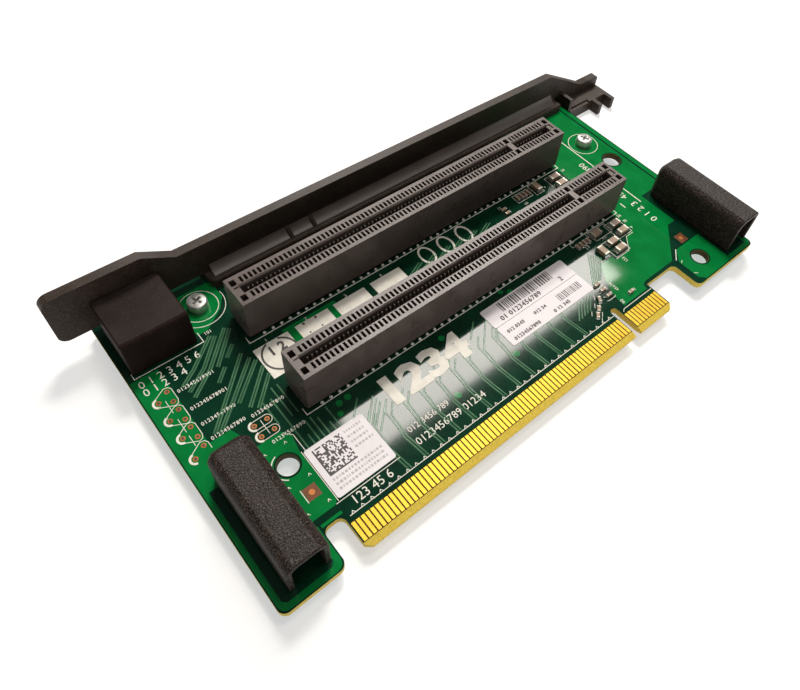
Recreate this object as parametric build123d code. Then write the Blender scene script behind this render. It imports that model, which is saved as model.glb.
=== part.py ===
from build123d import *
import os

# Riser card lying flat, card slots up: X along the slots, Y from the edge connector to the rail, Z up.
# Every feature is placed from the left end of the edge connector (x 0), its mating edge (y 0) and the
# component side of the board (z 0). The finished pieces are then moved so that the origin is the
# middle of the assembly's footprint, at the height of its lowest face.

# Edge connector: two runs of contact pads either side of the key notch
pad_pitch = 1.0
pad_width = 0.7
pad_plating = 0.05
pad_start = 1.45
pad_end = 5.3
long_run_count = 71
short_run_count = 11
key_to_pad = 1.5
pad_to_tab_end = 0.65
tab_corner = 1.1
key_notch_width = 1.9
key_notch_depth = 8.0
bevel_length = 1.3
bevel_depth = 0.45
key_centre = pad_to_tab_end + (long_run_count - 1) * pad_pitch + key_to_pad
tab_width = key_centre + key_to_pad + (short_run_count - 1) * pad_pitch + pad_to_tab_end

# Circuit board: a leg and a gap either side of the edge connector
board_depth = 70.3
board_thickness = 1.57
left_leg_width = 12.5
left_gap_width = 4.1
left_gap_depth = 7.4
right_leg_width = 22.3
right_gap_width = 9.8
right_gap_depth = 7.7
leg_corner_radius = 1.5
gap_corner_radius = 1.4
board_left = -left_gap_width - left_leg_width
right_leg = tab_width + right_gap_width
board_right = right_leg + right_leg_width

# Holes through the board
tooling_hole_diameter = 4.3
left_hole_inset = 14.4
left_hole_height = 20.8
right_hole_inset = 7.5
right_hole_height = 5.35
corner_hole_diameter = 4.9
corner_hole_inset = 5.7
corner_hole_drop = 29.3
tooling_holes = (
    (board_left + left_hole_inset, left_hole_height),
    (right_leg + right_hole_inset, right_hole_height),
)
corner_hole = (board_right - corner_hole_inset, board_depth - corner_hole_drop)

# Card slots
slot_end_wall = 1.85
slot_width = 7.5
slot_height = 11.25
slot_left = 6.67
slot_front = 27.5
slot_pitch = 20.32
card_thickness = 1.57
card_clearance = 0.13
card_end_clearance = 0.5
channel_depth = 8.3
channel_lead_in = 0.3
end_step_length = 1.15
end_step_depth = 0.3
key_wall = 1.4
pocket_width = 0.56
pocket_length = 1.5
pocket_inner_wall = 0.5
pocket_depth = 9.0
end_pocket_width = 1.2
end_pocket_inset = 0.65
undercut_depth = 1.0
undercut_height = 1.0
slot_length = tab_width + 2 * (card_end_clearance + slot_end_wall)

# Spring contacts inside the slots: the bowed length of each that stands out of its channel wall
contact_width = 0.5
contact_bulge = 0.42
contact_bulge_height = 5.4
contact_length = 7.0

# Rail bracket: wall, foot on the board, channel round the back edge, hooks at the right
rail_wall = 2.1
rail_overlap = 3.7
rail_height = 10.5
rail_lift = 2.3
raised_height = 14.35
left_reach = 5.8
raised_length = 18.8
step_length = 6.4
foot_depth = 3.2
foot_fillet = 1.2
foot_corner = 1.5
foot_bevel = 0.3
foot_left_inset = 23.9
foot_right_inset = 2.5
channel_wall = 1.7
lip_thickness = 2.13
lip_depth = 5.7
board_clearance = 0.2
slope_inset = 5.5
slope_length = 14.7
tab_height = 2.6
right_reach = 16.8
left_end_radius = 2.1
right_end_radius = 0.8
hook_top = -0.4
hook_depth = 4.6
finger_length = 3.0
finger_width = 1.3
finger_gap = 4.1
hook_step = 0.45
end_rib_height = 3.2
end_rib_width = 1.1
end_rib_depth = 4.2
latch_rib_inset = 44.0
latch_rib_gap = 6.0
latch_rib_width = 0.8
latch_rib_height = 2.0
latch_rib_length = 2.6
boss_width = 8.0
boss_corner = 2.4
rail_face = board_depth - rail_overlap
rail_back = rail_face + rail_wall
rail_left = board_left - left_reach
rail_right = board_right + right_reach
foot_left = board_left + foot_left_inset
foot_right = board_right - foot_right_inset
foot_front = rail_face - foot_depth

# Screws through the board into the bracket
left_screw_inset = 19.1
left_screw_drop = 8.9
right_screw_inset = 7.4
right_screw_drop = 20.4
screw_points = (
    (board_left + left_screw_inset, board_depth - left_screw_drop),
    (board_right - right_screw_inset, board_depth - right_screw_drop),
)
screw_head_diameter = 4.2
screw_head_height = 1.9
screw_diameter = 2.5
screw_bite = 2.0
screw_hole_clearance = 0.15
thread_depth = 0.12
recess_span = 2.3
recess_width = 0.6
recess_depth = 0.9

# Guide sleeves
sleeve_width = 8.0
sleeve_length = 24.5
sleeve_height = 9.2
sleeve_wall = 1.1
sleeve_radius = 2.0
sleeve_end_bevel = 1.0
sleeve_front = 2.4
snap_width = 3.0
snap_from_front = 6.0
snap_clearance = 0.1
snap_barb = 0.5
snap_barb_height = 0.7
left_sleeve_inset = 3.0
left_sleeve_x = board_left + left_sleeve_inset
right_sleeve_x = board_right - sleeve_width

# Intrusion switch
cover_inset = 1.6
cover_width = 13.3
cover_depth = 12.85
cover_height = 9.5
cover_wall = 1.2
cover_edge = 0.5
plunger_height = 5.4
plunger_size = 4.0
plunger_reach = 2.5
plunger_bevel = 0.5
plunger_travel = 1.6
guide_clearance = 0.2
flange_size = 5.2
flange_thickness = 1.0
stop_gap = 0.1
overtravel = 0.3
microswitch_size = (9.6, 6.2, 7.6)
pin_button_width = 2.4
pin_button_height = 1.4
pin_button_clearance = 0.1
pin_button_hold = 2.2
terminal_width = 0.9
terminal_thickness = 0.3
terminal_reach = 1.1
terminal_pitch = 3.2
cover_left = board_left + cover_inset
cover_right = cover_left + cover_width
cover_front = rail_face - cover_depth
plunger_x = cover_left + cover_width / 2
microswitch_face = rail_face - cover_wall - stop_gap - flange_thickness - plunger_travel - overtravel

# Surface-mounted parts: length, width, height, and for the large ones the share that each end cap takes
large_chip = (2.9, 1.6, 1.25, 0.18)
small_chip = (1.5, 0.8, 0.7)
large_chips = (
    (92.2, 44.9, 0), (92.2, 42.3, 0), (85.8, 45.0, 90), (92.3, 24.6, 0), (92.2, 22.0, 0),
    (87.4, 21.0, 0), (87.4, 18.5, 0), (83.1, 20.3, 90), (86.0, 25.1, 0),
)
small_chips = (
    (79.3, 45.0, 90), (80.5, 45.0, 90), (81.7, 45.0, 90), (82.9, 45.0, 90), (73.7, 44.2, 0), (73.7, 42.8, 0),
    (79.4, 24.9, 90), (80.6, 24.9, 90), (81.8, 24.9, 90), (83.0, 24.9, 90), (74.5, 14.5, 0), (74.5, 12.7, 0),
    (74.5, 10.9, 0), (71.7, 11.3, 60), (69.6, 9.7, 45), (68.1, 8.6, 45), (79.3, 8.5, 0),
)

# Paper labels: left, front, width and depth
label_thickness = 0.1
code_label = (1.2, 10.1, 12.8, 11.1)
serial_label = (48.0, 14.2, 25.3, 5.4)
revision_label = (47.9, 19.7, 25.4, 5.2)

# Worked-out values
slot_fronts = (slot_front, slot_front + slot_pitch)
slot_key = slot_left + slot_end_wall + card_end_clearance + key_centre
channel_left = slot_left + slot_end_wall
channel_right = slot_left + slot_length - slot_end_wall
channel_back = board_depth + board_clearance + channel_wall
end_wall = board_right + board_clearance
lip_bottom = -board_thickness - lip_thickness
screw_passage = screw_diameter / 2 + screw_hole_clearance
screw_core = screw_diameter - 2 * thread_depth
card_half_gap = card_thickness / 2 + card_clearance
floor_level = min(lip_bottom, -board_thickness - snap_barb_height)
home = Pos(-(rail_left + rail_right) / 2, -channel_back / 2, -floor_level)


def block(x0, x1, y0, y1, z0, z1):
    return Pos((x0 + x1) / 2, (y0 + y1) / 2, (z0 + z1) / 2) * Box(x1 - x0, y1 - y0, z1 - z0)


def post(x, y, z0, z1, diameter):
    return Pos(x, y, (z0 + z1) / 2) * Cylinder(diameter / 2, z1 - z0)


def run_positions(key):
    """Where the contacts stand along X, for a key at one place."""
    left = [key - key_to_pad - pad_pitch * i for i in range(long_run_count)]
    right = [key + key_to_pad + pad_pitch * i for i in range(short_run_count)]
    return left + right


def side_edges(solid, x, y, tolerance=0.02):
    """Upright edges of a solid that stand at one place in plan."""
    found = []
    for edge in solid.edges().filter_by(Axis.Z):
        centre = edge.center()
        if abs(centre.X - x) < tolerance and abs(centre.Y - y) < tolerance:
            found.append(edge)
    return found


def board_outline():
    corners = (
        (board_left, 0), (-left_gap_width, 0), (-left_gap_width, left_gap_depth), (0, left_gap_depth),
        (0, 0), (tab_width, 0), (tab_width, right_gap_depth), (right_leg, right_gap_depth), (right_leg, 0),
        (board_right, 0), (board_right, board_depth), (board_left, board_depth),
    )
    return Pos(0, 0, -board_thickness) * extrude(make_face(Polyline(*corners, close=True)), board_thickness)


def snap_tabs(sleeve_x, grow, z0, z1):
    """Two tabs of a sleeve: one in its inner side wall, one in its closed end."""
    half = snap_width / 2
    inner = sleeve_x + sleeve_width - sleeve_wall
    if sleeve_x > tab_width / 2:
        inner = sleeve_x
    y = sleeve_front + snap_from_front
    back = sleeve_front + sleeve_length
    middle = sleeve_x + sleeve_width / 2
    return [
        block(inner - grow, inner + sleeve_wall + grow, y - half - grow, y + half + grow, z0, z1),
        block(middle - half - grow, middle + half + grow, back - sleeve_wall - grow, back + grow, z0, z1),
    ]


def terminal_spots():
    y = microswitch_face - microswitch_size[1]
    return [(plunger_x + step * terminal_pitch, y) for step in (-1, 0, 1)]


def circuit_board():
    board = board_outline()
    soft = []
    for x in (board_left, -left_gap_width, right_leg, board_right):
        soft += side_edges(board, x, 0)
    for x in (board_left, board_right):
        soft += side_edges(board, x, board_depth)
    board = fillet(soft, leg_corner_radius)
    inner = side_edges(board, -left_gap_width, left_gap_depth) + side_edges(board, 0, left_gap_depth)
    inner += side_edges(board, right_leg, right_gap_depth)
    board = fillet(inner, gap_corner_radius)
    board = chamfer(side_edges(board, 0, 0) + side_edges(board, tab_width, 0), tab_corner)
    notch_end = key_notch_depth - key_notch_width / 2
    half = key_notch_width / 2
    depth = board_thickness + 1
    cuts = [block(key_centre - half, key_centre + half, -1, notch_end, -depth, 1)]
    cuts.append(post(key_centre, notch_end, -depth, 1, key_notch_width))
    for x, y in tooling_holes:
        cuts.append(post(x, y, -depth, 1, tooling_hole_diameter))
    cuts.append(post(*corner_hole, -depth, 1, corner_hole_diameter))
    for x, y in screw_points:
        cuts.append(post(x, y, -depth, 1, 2 * screw_passage))
    for sleeve_x in (left_sleeve_x, right_sleeve_x):
        cuts += snap_tabs(sleeve_x, snap_clearance, -depth, 1)
    for level, sign in ((0, -1), (-board_thickness, 1)):
        wedge = make_face(Polyline(
            (-1, level - sign), (-1, level + sign * bevel_depth * (1 + 1 / bevel_length)),
            (bevel_length, level), (bevel_length, level - sign), close=True))
        cuts.append(Pos(-1, 0, 0) * extrude(Plane.YZ * wedge, tab_width + 2))
    return board - cuts


def edge_pads(top):
    if top:
        z0, z1 = 0, pad_plating
    else:
        z0, z1 = -board_thickness - pad_plating, -board_thickness
    pads = []
    for x in run_positions(key_centre):
        pads.append(block(x - pad_width / 2, x + pad_width / 2, pad_start, pad_end, z0, z1))
    return Compound(children=pads)


def slot_housing(front):
    middle = front + slot_width / 2
    back = front + slot_width
    right = slot_left + slot_length
    body = block(slot_left, right, front, back, 0, slot_height)
    top = slot_height + 1
    floor = slot_height - channel_depth
    lead = card_half_gap + channel_lead_in
    mouth = make_face(Polyline(
        (middle - lead, slot_height), (middle - card_half_gap, slot_height - channel_lead_in),
        (middle + card_half_gap, slot_height - channel_lead_in), (middle + lead, slot_height), close=True))
    cuts = []
    for x0, x1 in ((channel_left, slot_key - key_wall / 2), (slot_key + key_wall / 2, channel_right)):
        cuts.append(block(x0, x1, middle - card_half_gap, middle + card_half_gap, floor, top))
        cuts.append(Pos(x0, 0, 0) * extrude(Plane.YZ * mouth, x1 - x0))
    step_floor = slot_height - end_step_depth
    for x in (channel_left - end_step_length, channel_right):
        cuts.append(block(x, x + end_step_length, middle - card_half_gap, middle + card_half_gap, step_floor, top))
    for y in (front - 1, back - undercut_depth):
        cuts.append(block(slot_left - 1, right + 1, y, y + undercut_depth + 1, -1, undercut_height))
    inner = card_half_gap + pocket_inner_wall
    outer = inner + pocket_length
    floor = slot_height - pocket_depth
    for side in (-1, 1):
        y0, y1 = sorted((middle + side * inner, middle + side * outer))
        half = pocket_width / 2
        for x in run_positions(slot_key):
            cuts.append(block(x - half, x + half, y0, y1, floor, top))
        half = end_pocket_width / 2
        for x in (channel_left - end_pocket_inset, slot_key, channel_right + end_pocket_inset):
            cuts.append(block(x - half, x + half, y0, y1, floor, top))
    return body - cuts


def slot_contacts(front):
    middle = front + slot_width / 2
    foot = slot_height - channel_depth
    wall = card_half_gap
    bulge = foot + contact_bulge_height
    blade = ((wall, foot), (contact_bulge, bulge), (wall, foot + contact_length))
    left_face = make_face(Polyline(*[(middle - y, z) for y, z in blade], close=True))
    right_face = make_face(Polyline(*[(middle + y, z) for y, z in blade], close=True))
    solids = []
    for face in (left_face, right_face):
        strip = extrude(Plane.YZ * face, contact_width / 2, both=True)
        for x in run_positions(slot_key):
            solids.append(Pos(x, 0, 0) * strip)
    return Compound(children=solids)


def square_bar(y0, y1, width, height=None):
    """Bar on the push button's axis, square unless it has a height of its own."""
    height = height or width
    return Pos(plunger_x, (y0 + y1) / 2, plunger_height) * Box(width, y1 - y0, height)


def rail_wall_plate():
    raised_end = rail_left + raised_length
    slope_start = board_right - slope_inset
    profile = make_face(Polyline(
        (rail_left, rail_lift), (rail_left, raised_height), (raised_end, raised_height),
        (raised_end + step_length, rail_height), (slope_start, rail_height),
        (slope_start + slope_length, tab_height), (rail_right, tab_height), (rail_right, lip_bottom),
        (end_wall, lip_bottom), (end_wall, rail_lift), close=True))
    plate = Pos(0, rail_back, 0) * extrude(Plane.XZ * profile, rail_wall)
    ends = plate.edges().filter_by(Axis.Y).group_by(Axis.X)
    plate = fillet(ends[0], left_end_radius)
    tip = plate.edges().filter_by(Axis.Y).group_by(Axis.X)[-1].sort_by(Axis.Z)[-1]
    return fillet(tip, right_end_radius)


def hook_plate():
    front = rail_face - hook_depth
    tip = front - finger_length
    first_left = rail_right - 2 * finger_width - finger_gap
    first_right = first_left + finger_width
    second_left = rail_right - finger_width
    outline = make_face(Polyline(
        (end_wall, rail_back), (end_wall, front), (first_left, front), (first_left, tip), (first_right, tip),
        (first_right, front), (second_left, front), (second_left, tip), (rail_right, tip),
        (rail_right, rail_back), close=True))
    plate = Pos(0, 0, lip_bottom) * extrude(outline, hook_top - lip_bottom)
    groove = block(end_wall - 1, first_left - 1, front - 1, front + end_rib_width, hook_top - hook_step, hook_top + 1)
    return plate - groove


def foot_cove():
    corner = make_face(Polyline(
        (rail_face, rail_lift), (rail_face - foot_fillet, rail_lift), (rail_face, rail_lift + foot_fillet),
        close=True))
    corner += Pos(rail_face - foot_fillet / 2, rail_lift + foot_fillet / 2) * Rectangle(foot_fillet, foot_fillet)
    corner -= Pos(rail_face - foot_fillet, rail_lift + foot_fillet) * Circle(foot_fillet)
    return Pos(foot_left + foot_fillet, 0, 0) * extrude(Plane.YZ * corner, foot_right - foot_left - foot_fillet)


def screw_bosses():
    """Lip under the board's back edge, with an arm out to a boss at each screw."""
    lip_front = board_depth - lip_depth
    left = screw_points[0][0] - boss_width / 2
    right = end_wall + end_rib_width
    bosses = block(left, right, lip_front, channel_back, lip_bottom, -board_thickness)
    half = boss_width / 2
    for x, y in screw_points:
        pad = block(x - half, x + half, y - half, lip_front, lip_bottom, -board_thickness)
        bosses += chamfer(pad.edges().filter_by(Axis.Z).group_by(Axis.Y)[0], boss_corner)
    for x, y in screw_points:
        bosses -= post(x, y, lip_bottom - 1, -board_thickness + 1, screw_core)
    return bosses


def latch_ribs():
    profile = make_face(Polyline(
        (rail_face + rail_wall / 2, rail_lift), (rail_face - latch_rib_length, rail_lift),
        (rail_face, rail_lift + latch_rib_height), (rail_face + rail_wall / 2, rail_lift + latch_rib_height),
        close=True))
    rib = extrude(Plane.YZ * profile, latch_rib_width / 2, both=True)
    first = board_left + latch_rib_inset
    return [Pos(x, 0, 0) * rib for x in (first, first + latch_rib_gap)]


def rail_bracket():
    right = end_wall + end_rib_width
    bracket = rail_wall_plate() + hook_plate()
    bracket += block(end_wall, right, rail_face - end_rib_depth, rail_back, lip_bottom, end_rib_height)
    foot = block(foot_left, foot_right, foot_front, channel_back, 0, rail_lift)
    foot = fillet(side_edges(foot, foot_left, foot_front), foot_corner)
    top_front = foot.edges().group_by(Axis.Z)[-1].filter_by(Axis.X).sort_by(Axis.Y)[0]
    bracket += chamfer(top_front, foot_bevel)
    bracket += foot_cove()
    bracket += block(foot_left, right, board_depth + board_clearance, channel_back, lip_bottom, rail_lift)
    bracket += screw_bosses()
    bracket += latch_ribs()
    return bracket - square_bar(rail_face - 1, rail_back + 1, plunger_size + 2 * guide_clearance)


def rail_screws():
    screws = []
    for x, y in screw_points:
        head = post(x, y, 0, screw_head_height, screw_head_diameter)
        bottom = -board_thickness - screw_bite
        shank = post(x, y, bottom, 0, screw_core)
        cross = []
        for angle in (0, 90):
            slot = Box(recess_span, recess_width, 2 * recess_depth)
            cross.append(Pos(x, y, screw_head_height) * Rot(0, 0, angle) * slot)
        screws.append(head + shank - cross)
    return Compound(children=screws)


def guide_sleeve(sleeve_x):
    right = sleeve_x + sleeve_width
    back = sleeve_front + sleeve_length
    shell = block(sleeve_x, right, sleeve_front, back, 0, sleeve_height)
    shell = fillet(shell.edges().filter_by(Axis.Y).group_by(Axis.Z)[-1], sleeve_radius)
    shell = chamfer(shell.faces().sort_by(Axis.Y)[-1].edges() - shell.edges().group_by(Axis.Z)[0],
                    sleeve_end_bevel)
    core = block(sleeve_x + sleeve_wall, right - sleeve_wall, sleeve_front - 1, back - sleeve_wall,
                 -1, sleeve_height - sleeve_wall)
    core = fillet(core.edges().filter_by(Axis.Y).group_by(Axis.Z)[-1], sleeve_radius - sleeve_wall * 0.6)
    shell -= core
    bottom = -board_thickness - snap_barb_height
    for tab in snap_tabs(sleeve_x, 0, bottom, 0.01):
        shell += tab
    side, end = snap_tabs(sleeve_x, 0, bottom, -board_thickness)
    toward = -snap_barb
    if sleeve_x > tab_width / 2:
        toward = snap_barb
    shell += Pos(-toward, 0, 0) * side
    return shell + Pos(0, snap_barb, 0) * end


def switch_cover():
    shell = block(cover_left, cover_right, cover_front, rail_face, 0, cover_height)
    shell = chamfer(shell.edges().group_by(Axis.Z)[-1].sort_by(Axis.Y)[0], cover_edge)
    shell -= block(cover_left + cover_wall, cover_right - cover_wall, cover_front + cover_wall,
                   rail_face - cover_wall, -1, cover_height - cover_wall)
    return shell - square_bar(rail_face - cover_wall - 1, rail_face + 1, plunger_size + 2 * guide_clearance)


def microswitch():
    width, depth, height = microswitch_size
    body = block(plunger_x - width / 2, plunger_x + width / 2, microswitch_face - depth, microswitch_face,
                 0, height)
    socket_end = microswitch_face - pin_button_hold - plunger_travel - overtravel
    grow = 2 * pin_button_clearance
    return body - square_bar(socket_end, microswitch_face + 1, pin_button_width + grow, pin_button_height + grow)


def switch_terminals():
    terminals = []
    for x, y in terminal_spots():
        half = terminal_width / 2
        terminals.append(block(x - half, x + half, y - terminal_reach, y, 0, terminal_thickness))
    return Compound(children=terminals)


def switch_plunger():
    inner = rail_face - cover_wall - stop_gap
    button = square_bar(inner, rail_back + plunger_reach, plunger_size)
    button = chamfer(button.edges().group_by(Axis.Y)[-1], plunger_bevel)
    return button + square_bar(inner - flange_thickness, inner, flange_size)


def microswitch_button():
    outer = microswitch_face + plunger_travel + overtravel
    return square_bar(microswitch_face - pin_button_hold, outer, pin_button_width, pin_button_height)


def chip_parts(size, places):
    length, width, height, share = size
    cap = length * share
    bodies = []
    caps = []
    for x, y, turn in places:
        spot = Pos(x, y, height / 2) * Rot(0, 0, turn)
        bodies.append(spot * Box(length - 2 * cap, width, height))
        for side in (-1, 1):
            caps.append(spot * Pos(side * (length - cap) / 2, 0, 0) * Box(cap, width, height))
    return bodies, caps


def small_bodies():
    length, width, height = small_chip
    return [Pos(x, y, height / 2) * Rot(0, 0, turn) * Box(length, width, height) for x, y, turn in small_chips]


def label(place):
    x, y, width, depth = place
    return block(x, x + width, y, y + depth, 0, label_thickness)


def chips():
    large_bodies, large_caps = chip_parts(large_chip, large_chips)
    return {
        "bypass_capacitors": Compound(children=large_bodies),
        "bypass_capacitor_terminals": Compound(children=large_caps),
        "coupling_capacitors": Compound(children=small_bodies()),
    }


def pieces():
    found = {
        "circuit_board": circuit_board(),
        "edge_pads_top": edge_pads(True),
        "edge_pads_bottom": edge_pads(False),
        "rail_bracket": rail_bracket(),
        "rail_screws": rail_screws(),
        "left_guide_sleeve": guide_sleeve(left_sleeve_x),
        "right_guide_sleeve": guide_sleeve(right_sleeve_x),
        "intrusion_switch_cover": switch_cover(),
        "intrusion_microswitch": microswitch(),
        "microswitch_terminals": switch_terminals(),
        "microswitch_button": microswitch_button(),
        "intrusion_plunger": switch_plunger(),
        "code_label": label(code_label),
        "serial_label": label(serial_label),
        "revision_label": label(revision_label),
    }
    for number, front in enumerate(slot_fronts, 1):
        found["slot_%d_housing" % number] = slot_housing(front)
        found["slot_%d_contacts" % number] = slot_contacts(front)
    found.update(chips())
    return found


os.makedirs("parts", exist_ok=True)
for name, shape in pieces().items():
    export_step(home * shape, "parts/%s.step" % name)
print("footprint:", rail_right - rail_left, channel_back, "lowest face:", floor_level)
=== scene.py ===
import itertools
import math
import random
import bmesh
import bpy
from mathutils import Matrix, Vector


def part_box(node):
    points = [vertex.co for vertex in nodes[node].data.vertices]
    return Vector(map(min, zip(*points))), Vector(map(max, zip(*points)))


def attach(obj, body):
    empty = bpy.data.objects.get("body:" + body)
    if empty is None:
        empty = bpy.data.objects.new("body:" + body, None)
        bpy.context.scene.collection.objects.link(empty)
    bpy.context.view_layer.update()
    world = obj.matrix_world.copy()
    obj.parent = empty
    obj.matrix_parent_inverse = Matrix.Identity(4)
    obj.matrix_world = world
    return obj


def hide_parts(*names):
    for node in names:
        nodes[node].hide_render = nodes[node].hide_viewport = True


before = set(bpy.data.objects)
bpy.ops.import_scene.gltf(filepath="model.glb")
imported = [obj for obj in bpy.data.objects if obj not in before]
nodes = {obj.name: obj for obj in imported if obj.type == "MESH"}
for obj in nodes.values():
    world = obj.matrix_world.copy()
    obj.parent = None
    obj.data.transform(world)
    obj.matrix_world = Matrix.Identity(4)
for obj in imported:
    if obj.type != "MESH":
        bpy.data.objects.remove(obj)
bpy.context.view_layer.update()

boardLow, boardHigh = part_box("circuit_board")
mm = 0.001
dice = random.Random(7)

# materials


def blankMaterial(name, color, roughness, metallic=0.0):
    mat = bpy.data.materials.new(name)
    mat.use_nodes = True
    shader = mat.node_tree.nodes["Principled BSDF"]
    shader.inputs["Base Color"].default_value = (*color, 1.0)
    shader.inputs["Roughness"].default_value = roughness
    shader.inputs["Metallic"].default_value = metallic
    return mat, mat.node_tree, shader


def objectCoords(tree):
    return tree.nodes.new("ShaderNodeTexCoord").outputs["Object"]


def addNoise(tree, vector, scale, detail=3.0):
    noise = tree.nodes.new("ShaderNodeTexNoise")
    noise.inputs["Scale"].default_value = scale
    noise.inputs["Detail"].default_value = detail
    noise.inputs["Roughness"].default_value = 0.55
    tree.links.new(vector, noise.inputs["Vector"])
    return noise.outputs["Fac"]


def mapRange(tree, value, low, high, outLow, outHigh):
    node = tree.nodes.new("ShaderNodeMapRange")
    node.inputs["From Min"].default_value = low
    node.inputs["From Max"].default_value = high
    node.inputs["To Min"].default_value = outLow
    node.inputs["To Max"].default_value = outHigh
    tree.links.new(value, node.inputs["Value"])
    return node.outputs["Result"]


def mixColors(tree, factor, colorA, colorB):
    node = tree.nodes.new("ShaderNodeMix")
    node.data_type = "RGBA"
    tree.links.new(factor, node.inputs["Factor"])
    for socket, color in ((node.inputs["A"], colorA), (node.inputs["B"], colorB)):
        if isinstance(color, tuple):
            socket.default_value = (*color, 1.0)
        else:
            tree.links.new(color, socket)
    return node.outputs["Result"]


def addBump(tree, shader, height, strength, distance):
    bump = tree.nodes.new("ShaderNodeBump")
    bump.inputs["Strength"].default_value = strength
    bump.inputs["Distance"].default_value = distance
    tree.links.new(height, bump.inputs["Height"])
    tree.links.new(bump.outputs["Normal"], shader.inputs["Normal"])


def flatFaces(tree):        # 1 on faces that look straight up or down, else 0
    axes = tree.nodes.new("ShaderNodeSeparateXYZ")
    tree.links.new(tree.nodes.new("ShaderNodeTexCoord").outputs["Normal"], axes.inputs["Vector"])
    upright = tree.nodes.new("ShaderNodeMath")
    upright.operation = "ABSOLUTE"
    tree.links.new(axes.outputs["Z"], upright.inputs[0])
    flat = tree.nodes.new("ShaderNodeMath")
    flat.operation = "GREATER_THAN"
    flat.inputs[1].default_value = 0.98
    tree.links.new(upright.outputs[0], flat.inputs[0])
    return flat.outputs[0]


def variedMaterial(name, dark, light, roughLow, roughHigh, scale, metallic=0.0, gloss=0.5, sideGloss=None,
                   grain=None, speck=None):
    mat, tree, shader = blankMaterial(name, light, roughHigh, metallic)
    shader.inputs["Specular IOR Level"].default_value = gloss
    coords = objectCoords(tree)
    if sideGloss is not None:        # upright walls are duller than the tops
        level = mapRange(tree, flatFaces(tree), 0.0, 1.0, sideGloss, gloss)
        tree.links.new(level, shader.inputs["Specular IOR Level"])
    cloud = addNoise(tree, coords, scale)
    color = mixColors(tree, mapRange(tree, cloud, 0.3, 0.7, 0.0, 1.0), dark, light)
    if speck:        # pale specks of a coarse moulded grain: scale, threshold and colour
        size, least, pale = speck
        spots = mapRange(tree, addNoise(tree, coords, size, 1.0), least, least + 0.12, 0.0, 1.0)
        color = mixColors(tree, spots, color, pale)
    tree.links.new(color, shader.inputs["Base Color"])
    tree.links.new(mapRange(tree, cloud, 0.3, 0.7, roughLow, roughHigh), shader.inputs["Roughness"])
    if grain:        # fine relief: strength, scale and depth
        strength, size, depth = grain
        addBump(tree, shader, addNoise(tree, coords, size, 2.0), strength, depth)
    return mat


def boardMaterial():        # green mask on the flat faces, bare laminate on the cut edges and the bevel
    mat, tree, shader = blankMaterial("boardLaminate", (0.005, 0.07, 0.03), 0.2)
    coords = objectCoords(tree)
    cloud = mapRange(tree, addNoise(tree, coords, 160.0, 4.0), 0.35, 0.65, 0.0, 1.0)
    mask = mixColors(tree, cloud, (0.0015, 0.022, 0.011), (0.003, 0.036, 0.017))
    fibre = mapRange(tree, addNoise(tree, coords, 2400.0, 2.0), 0.3, 0.7, 0.0, 1.0)
    laminate = mixColors(tree, fibre, (0.52, 0.37, 0.035), (0.68, 0.51, 0.06))
    flat = flatFaces(tree)
    tree.links.new(mixColors(tree, flat, laminate, mask), shader.inputs["Base Color"])
    tree.links.new(mapRange(tree, flat, 0.0, 1.0, 0.6, 0.07), shader.inputs["Roughness"])
    return mat


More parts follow.
